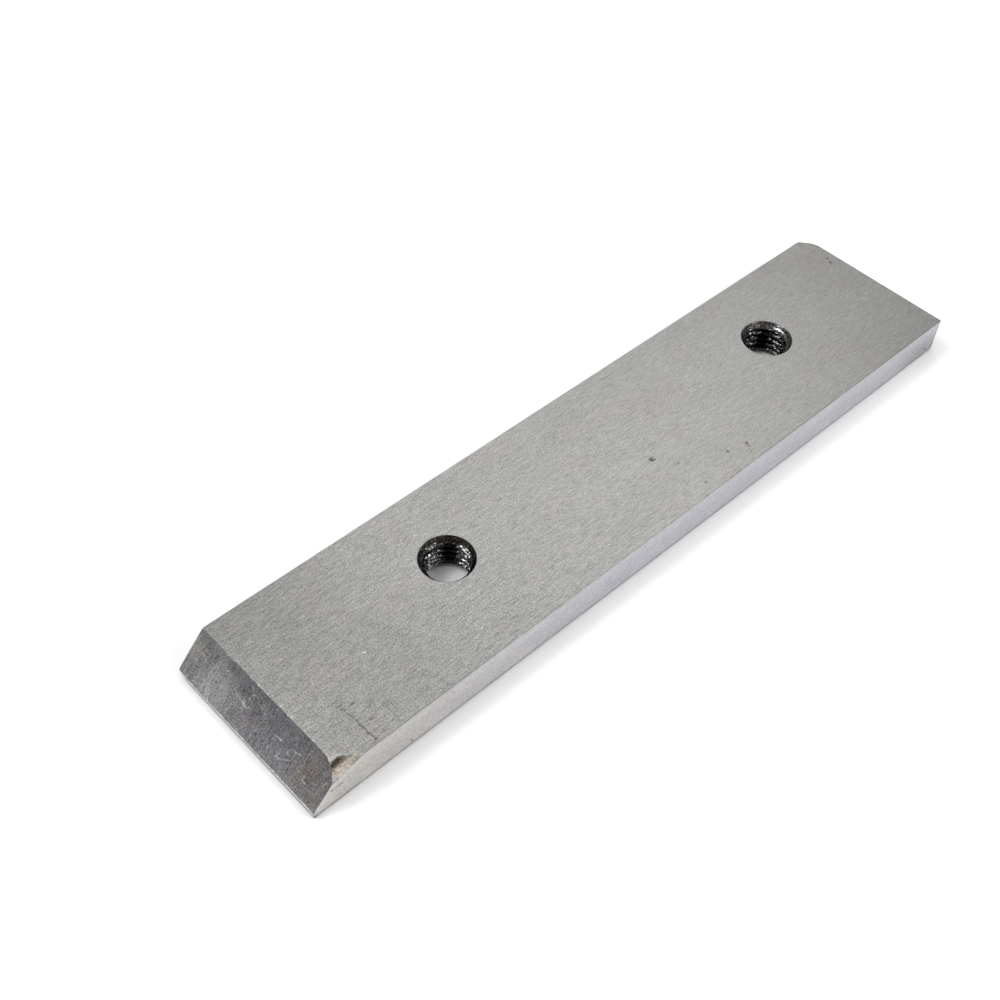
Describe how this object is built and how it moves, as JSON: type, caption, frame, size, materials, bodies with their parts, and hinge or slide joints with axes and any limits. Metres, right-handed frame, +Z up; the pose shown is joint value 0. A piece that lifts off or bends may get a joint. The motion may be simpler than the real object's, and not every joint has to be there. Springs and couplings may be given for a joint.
{
  "type": "shear blade",
  "caption": "Flat ground steel shear blade with a bevelled end, tapped through holes, a clipped corner and a broken corner.",
  "frame": {"origin": "middle of the bottom of the blade's box, on the surface that the blade lies on", "axes": "+X along the blade towards its square end, +Y across it from the front side to the back side, +Z up through its thickness"},
  "size_m": [0.204, 0.045, 0.01],
  "materials": {
    "ground_steel": "surface ground, worn"
  },
  "bodies": {
    "root": {"shear_blade": "ground_steel"}
  },
  "joints": []
}
